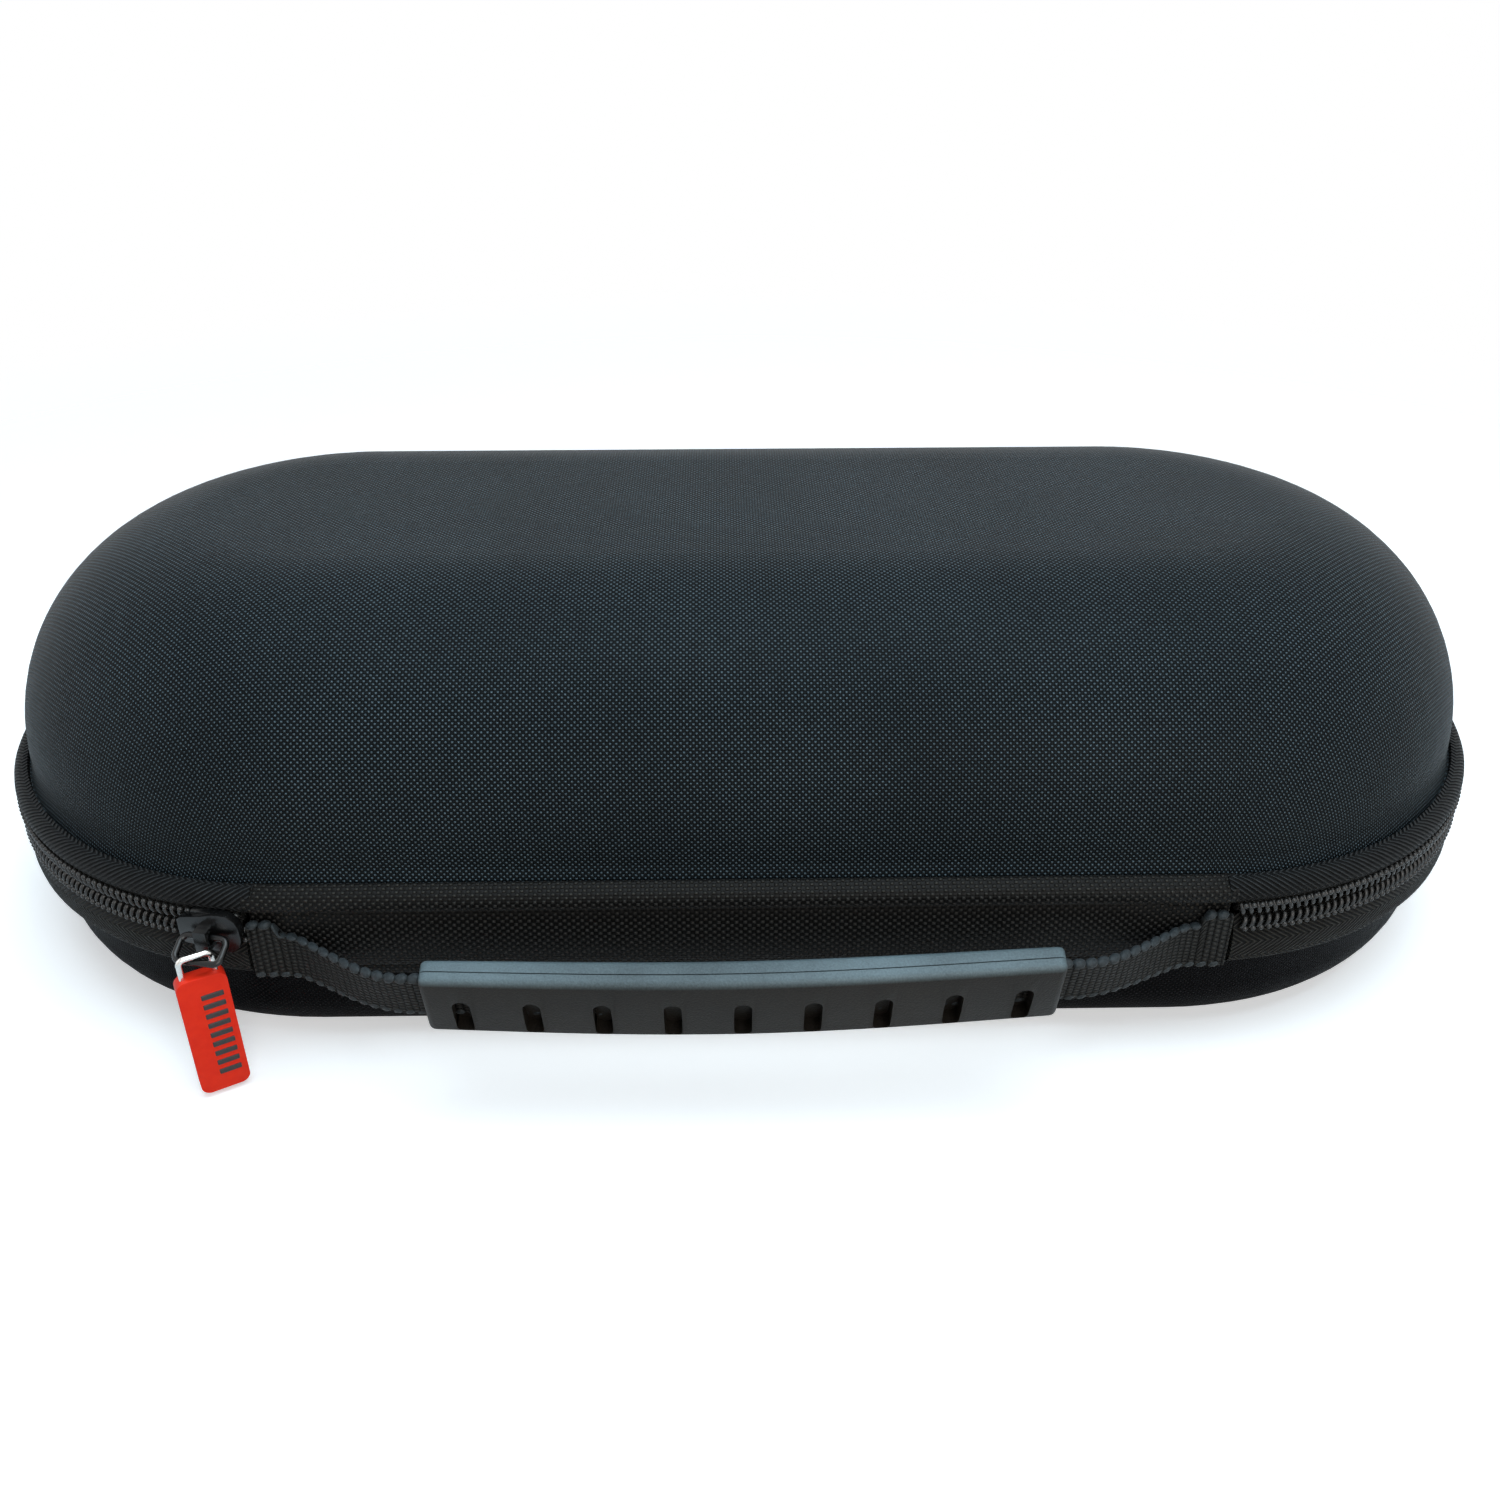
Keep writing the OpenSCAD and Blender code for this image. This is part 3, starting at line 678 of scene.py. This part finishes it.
def onto_handle(co):
    """Moves points of a straight handle onto its real line, in place. They
    are given with x along it, y through it and z up, from its middle."""
    near = np.clip((SEWN_X - np.abs(co[:, 0])) / (SEWN_X - STRAIGHT_X), 0, 1)
    ramp = (1 - np.cos(math.pi * near ** 0.75)) / 2
    bow = np.cos(np.clip(co[:, 0] / BOW_HALF, -1, 1) * math.pi / 2) ** 2
    line = WEB_SEWN_Y + (WEB_GRIP_Y - WEB_SEWN_Y) * ramp - BOW_OUT * bow
    lean = GRIP_LEAN * ramp
    y, z = co[:, 1].copy(), co[:, 2].copy()
    co[:, 1] = line + y * np.cos(lean) - z * np.sin(lean)
    co[:, 2] = (WEB_Z + y * np.sin(lean) + z * np.cos(lean) + DROOP * co[:, 0] * ramp
                - BOW_DOWN * bow)
    co[:, 0] += SHIFT


def bow_out(piece):
    """Gathers a straight piece of the webbing and lays it on the handle."""
    co = points_of(piece.data)
    write_uv(piece.data, co[:, 0], co[:, 2])
    # Its upper edge is gathered in below the binding, but for the folded end
    far = np.abs(co[:, 0])
    away = np.clip((far - GATHER_FROM) / GATHER_RUN, 0, 1)
    gather = 0.90 - 0.34 * away + 0.44 * np.clip((far - FOLD_FROM) / FOLD_RUN, 0, 1)
    co[:, 2] *= np.where(co[:, 2] > 0, gather, 1.0)
    co[:, 2] -= SEWN_DOWN * away
    onto_handle(co)
    put_points(piece.data, co)


def cut_across(piece, places):
    """Bisects the whole piece at each place along X."""
    for spot in places:
        only(piece)
        bpy.ops.object.mode_set(mode="EDIT")
        bpy.ops.mesh.select_all(action="SELECT")
        bpy.ops.mesh.bisect(plane_co=(spot, 0, 0), plane_no=(1, 0, 0))
        bpy.ops.object.mode_set(mode="OBJECT")


def block(name, size, place=(0, 0, 0)):
    clear_choice()
    bpy.ops.mesh.primitive_cube_add(size=1, location=(0, 0, 0))
    piece = bpy.context.object
    piece.name = name
    bpy.ops.object.mode_set(mode="EDIT")
    bpy.ops.mesh.select_all(action="SELECT")
    bpy.ops.transform.resize(value=size, center_override=(0, 0, 0))
    bpy.ops.transform.translate(value=place)
    bpy.ops.object.mode_set(mode="OBJECT")
    return piece


def round_edges(piece, width, segments=3):
    rounding = piece.modifiers.new("edges", "BEVEL")
    rounding.width = width
    rounding.segments = segments
    rounding.limit_method = "ANGLE"
    rounding.angle_limit = math.radians(32)
    rounding.use_clamp_overlap = True
    only(piece)
    bpy.ops.object.modifier_apply(modifier=rounding.name)


web = block("webbing", (2 * WEB_END, WEB_T, WEB_H - 0.0010))
round_edges(web, 0.0004)
cut_across(web, [i * WEB_T for i in range(-62, 63)])
bow_out(web)
only(web)
bpy.ops.object.shade_smooth_by_angle(angle=math.radians(40))
webbing_cloth, web_tree, web_shader = new_paint("ribbed_webbing", 0.5, 0.01, shine=0.08)
web_uv, web_along, web_up = uv_of(web_tree)
COLUMN, ROW = 0.00135, 0.00110
# Columns of knitted ribs with a small dark slot between every two rows
web_col = calc(web_tree, "ABSOLUTE", calc(web_tree, "SINE", calc(
    web_tree, "MULTIPLY", web_along, math.pi / COLUMN)))
web_half = calc(web_tree, "MULTIPLY", calc(web_tree, "FLOOR", calc(
    web_tree, "DIVIDE", web_along, COLUMN)), math.pi / 2)
web_row = calc(web_tree, "ABSOLUTE", calc(web_tree, "SINE", calc(
    web_tree, "ADD", calc(web_tree, "MULTIPLY", web_up, math.pi / ROW), web_half)))
web_rib = calc(web_tree, "MULTIPLY", calc(web_tree, "POWER", web_col, 0.8),
               calc(web_tree, "ADD", calc(web_tree, "MULTIPLY", calc(
                   web_tree, "POWER", web_row, 0.9), 0.92), 0.08))
web_fuzz = web_tree.nodes.new("ShaderNodeTexNoise")
web_fuzz.inputs["Scale"].default_value = 1500
web_fuzz.inputs["Detail"].default_value = 3
web_tree.links.new(web_uv, web_fuzz.inputs["Vector"])
shade_between(web_tree, web_shader, calc(web_tree, "MULTIPLY", web_rib, calc(
    web_tree, "ADD", web_fuzz.outputs["Fac"], 0.35)), (0.0008, 0.0008, 0.0008), (0.052, 0.053, 0.051))
raise_by(web_tree, web_shader, calc(web_tree, "ADD", web_rib, calc(
    web_tree, "MULTIPLY", web_fuzz.outputs["Fac"], 0.3)), 0.0007)
web.data.materials.append(webbing_cloth)

loop_thread = grained("webbing_edge_thread", 0.5, 1900, 3, (0.004, 0.005, 0.006),
                      (0.050, 0.062, 0.068), 0.00018, sheen=0.05, shine=0.2)
LOOP_STEP = 0.0024


def looped_edge(name, z):
    """The row of thread loops along one edge of the webbing."""
    clear_choice()
    bpy.ops.mesh.primitive_uv_sphere_add(segments=10, ring_count=7, radius=0.00125)
    bead = bpy.context.object
    bead.name = name
    bpy.ops.object.mode_set(mode="EDIT")
    bpy.ops.mesh.select_all(action="SELECT")
    bpy.ops.transform.resize(value=(1.10, 0.88, 0.72), center_override=(0, 0, 0))
    bpy.ops.transform.rotate(value=0.35, orient_axis="Y", center_override=(0, 0, 0))
    bpy.ops.transform.translate(value=(-WEB_END + LOOP_STEP / 2, 0, z))
    bpy.ops.object.mode_set(mode="OBJECT")
    repeat_along(bead, (LOOP_STEP, 0, 0), int((2 * WEB_END - LOOP_STEP) / LOOP_STEP) + 1)
    bow_out(bead)
    only(bead)
    bpy.ops.object.shade_smooth()
    bead.data.materials.append(loop_thread)
    return bead


for piece in (web, looped_edge("webbing_top_loops", WEB_H / 2 - 0.0006),
              looped_edge("webbing_low_loops", 0.0011 - WEB_H / 2)):
    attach(piece, "spine")
    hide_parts("handle_webbing")

# Grip: a soft rubber sleeve moulded round the webbing, a little fuller in the
# middle. A row of slots runs from its face through its lower edge and shows
# the webbing, and a fine parting line runs along its top.
GRIP_L, GRIP_H, GRIP_T = 0.1185, 0.0160, 0.0072
SLOT_STEP, SLOT_R = 0.013, 0.0017
slot_places = [(i - 4) * SLOT_STEP for i in range(9)]
grip = block("grip_sleeve", (GRIP_L, GRIP_T, GRIP_H))
round_edges(grip, 0.0014, 5)


def cut_out(piece, cutter):
    cut = piece.modifiers.new("cut", "BOOLEAN")
    cut.operation = "DIFFERENCE"
    cut.solver = "EXACT"
    cut.object = cutter
    only(piece)
    bpy.ops.object.modifier_apply(modifier=cut.name)
    bpy.data.objects.remove(cutter)


for slot_x in slot_places:
    clear_choice()
    bpy.ops.mesh.primitive_cylinder_add(vertices=24, radius=SLOT_R, depth=0.006,
                                        rotation=(math.pi / 2, 0, 0), location=(0, 0, 0))
    cutter = bpy.context.object
    settle()
    for v in cutter.data.vertices:
        v.co.z += 0.0009 if v.co.z > 0 else -0.0056
        v.co.x += slot_x
        v.co.y -= 0.0035
    cut_out(grip, cutter)
# The parting line is a shallow step in the top
cut_out(grip, block("parting_groove", (GRIP_L + 0.002, 0.00036, 0.0010), (0, -0.0004, GRIP_H / 2)))
cut_across(grip, [x + d for x in slot_places for d in (-SLOT_STEP / 2, -0.0027, 0, 0.0027)])
grip_co = points_of(grip.data)
# Fuller in the middle, and thinner towards its top
swell = 1 - (grip_co[:, 0] / (GRIP_L / 2)) ** 2
grip_co[:, 1] -= 0.0006 * swell * (grip_co[:, 1] < 0)
grip_co[:, 1] *= 1 - 0.34 * np.clip(grip_co[:, 2] / (GRIP_H / 2), 0, 1) ** 2
grip_co[:, 2] -= 0.0007 * swell * (grip_co[:, 2] < 0)
# Its top gets a mask for a painted sheen: a light blue-grey painted into its colour where light falls on
# the top
grip.data.attributes.new("painted_top_sheen", "FLOAT", "POINT").data.foreach_set(
    "value", np.clip((grip_co[:, 2] - 0.0066) / 0.0011, 0, 1).astype(np.float32))
onto_handle(grip_co)
put_points(grip.data, grip_co)
only(grip)
bpy.ops.object.shade_smooth_by_angle(angle=math.radians(38))
grip_rubber, grip_tree, grip_shader = new_paint("grip_rubber", 0.42, shine=0.2)
grip_grain = noise(grip_tree, 2600, 4)
grip_haze = noise(grip_tree, 60, 3)
grip_tone = shade_between(grip_tree, grip_shader, calc(
    grip_tree, "MULTIPLY", grip_grain, calc(grip_tree, "ADD", grip_haze, 0.5)),
    (0.003, 0.003, 0.003), (0.026, 0.021, 0.016))
# Painted sheen: through the mask, the top's colour is mixed towards a light blue-grey, standing in for
# the light on it
grip_top = grip_tree.nodes.new("ShaderNodeAttribute")
grip_top.attribute_name = "painted_top_sheen"
painted_top_sheen = grip_tree.nodes.new("ShaderNodeMix")
painted_top_sheen.data_type = "RGBA"
painted_top_sheen.inputs["B"].default_value = (0.18, 0.245, 0.27, 1)
grip_tree.links.new(grip_tone.outputs["Result"], painted_top_sheen.inputs["A"])
grip_tree.links.new(calc(grip_tree, "MULTIPLY", grip_top.outputs["Fac"], calc(
    grip_tree, "ADD", calc(grip_tree, "MULTIPLY", grip_grain, 0.5),
    calc(grip_tree, "MULTIPLY", grip_haze, 0.7))), painted_top_sheen.inputs["Factor"])
grip_tree.links.new(painted_top_sheen.outputs["Result"], grip_shader.inputs["Base Color"])
raise_by(grip_tree, grip_shader, grip_grain, 0.00008)
grip.data.materials.append(grip_rubber)
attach(grip, "spine")
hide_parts("handle_grip")

# Slider and pull ring: a die-cast slider and a bent ring, both with the same
# glossy black enamel.
slider_paint = grained("slider_black", 0.26, 700, 2, (0.001, 0.001, 0.001), (0.006, 0.006, 0.006),
                       0.00003, shine=0.4)


def softened(node, name, width, body, paint):
    """A copy of a CAD node with its edges rounded over."""
    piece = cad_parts[node].copy()
    piece.data = piece.data.copy()
    piece.name = name
    piece.parent = None
    piece.matrix_world = Matrix.Identity(4)
    scene.collection.objects.link(piece)
    piece.data.materials.clear()
    piece.data.materials.append(paint)
    only(piece)
    bpy.ops.object.mode_set(mode="EDIT")
    bpy.ops.mesh.select_all(action="SELECT")
    bpy.ops.mesh.remove_doubles(threshold=0.000005)
    bpy.ops.mesh.dissolve_limited(angle_limit=math.radians(4))
    bpy.ops.object.mode_set(mode="OBJECT")
    round_edges(piece, width)
    bpy.ops.object.shade_smooth_by_angle(angle=math.radians(45))
    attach(piece, body)
    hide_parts(node)


softened("slider_body", "slider_casting", 0.00035, "slider", slider_paint)
dress("pull_ring", slider_paint)

# Wire loop and puller: a loop of bright steel wire through the ring, with a
# soft red puller moulded over its legs and a column of raised black bars.
wire_steel = grained("bare_wire", 0.22, 1200, 2, (0.55, 0.53, 0.50), (0.92, 0.90, 0.86), 0.00002,
                     metal=1.0)
dress("wire_loop", wire_steel)
puller_rubber = grained("red_rubber", 0.40, 500, 4, (0.84, 0.018, 0.006), (1.0, 0.045, 0.014), 0.00005,
                        shine=0.25)
softened("rubber_puller", "soft_puller", 0.0006, "puller", puller_rubber)

# The bars stand 0.2 mm proud of the face, in the right half of it
PARKED = 0.00556          # along the chain, from its left end to the slider
RING_LEAN, RING_REACH = math.radians(62), 0.0053
SLIDER_TURN = -(math.asin(LEFT_PAST / CHAIN_R) + PARKED / CHAIN_R)
RING_OUT = 0.0804 + RING_REACH * math.sin(RING_LEAN)
LOOP_TOP = 0.00155 - RING_REACH * math.cos(RING_LEAN)
puller_place = (Matrix.Translation((-END_X, 0, PARTING_Z)) @ Matrix.Rotation(SLIDER_TURN, 4, "Z")
                @ Matrix.Translation((0, -RING_OUT, LOOP_TOP))
                @ Matrix.Rotation(math.radians(40), 4, "Z"))
bars = block("puller_bars", (0.0042, 0.0005, 0.0012), (0.0014, -0.00150, -0.0090))
round_edges(bars, 0.00018, 2)
repeat_along(bars, (0, 0, -0.00235), 9)
bars.data.transform(puller_place)
black_rubber = grained("black_rubber", 0.5, 1500, 2, (0.010, 0.010, 0.010), (0.036, 0.034, 0.034),
                       0.00005)
bars.data.materials.append(black_rubber)
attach(bars, "puller")

# Inside: a knitted mesh pocket with an elastic mouth hangs under the lid's
# top, and two elastic straps with hook patches lie open on the base's floor.
def flat_weave(name, rough, grain, stretch, under, dark, light, depth):
    paint, tree, shader = new_paint(name, rough, 0.06)
    spot = tree.nodes.new("ShaderNodeTexCoord")
    axes = tree.nodes.new("ShaderNodeSeparateXYZ")
    tree.links.new(spot.outputs["Object"], axes.inputs[0])
    yarns = place_group(tree, weave, Warp=axes.outputs["X"], Weft=axes.outputs["Y"],
                        Grain=grain, Stretch=stretch, Under=under)
    shade_between(tree, shader, yarns.outputs["Shade"], dark, light)
    raise_by(tree, shader, yarns.outputs["Height"], depth)
    return paint, tree, shader, yarns


elastic = flat_weave("ribbed_elastic", 0.7, 0.0008, 1.9, 0.4, (0.004, 0.004, 0.004),
                     (0.040, 0.040, 0.042), 0.0004)[0]
for node in ("left_strap", "right_strap", "pocket_elastic"):
    dress(node, elastic)
hooks = flat_weave("hook_tape", 0.6, 0.0012, 1.0, 0.1, (0.008, 0.008, 0.009),
                   (0.080, 0.080, 0.083), 0.0006)[0]
for node in ("left_strap_patch", "right_strap_patch"):
    dress(node, hooks)
mesh_knit, mesh_tree, mesh_shader, mesh_yarns = flat_weave(
    "mesh_knit", 0.6, 0.0019, 1.0, 1.0, (0.006, 0.006, 0.007), (0.045, 0.045, 0.048), 0.0004)
open_hole = calc(mesh_tree, "LESS_THAN", mesh_yarns.outputs["Height"], 0.62)
mesh_tree.links.new(open_hole, mesh_shader.inputs["Alpha"])
dress("mesh_pocket", mesh_knit)
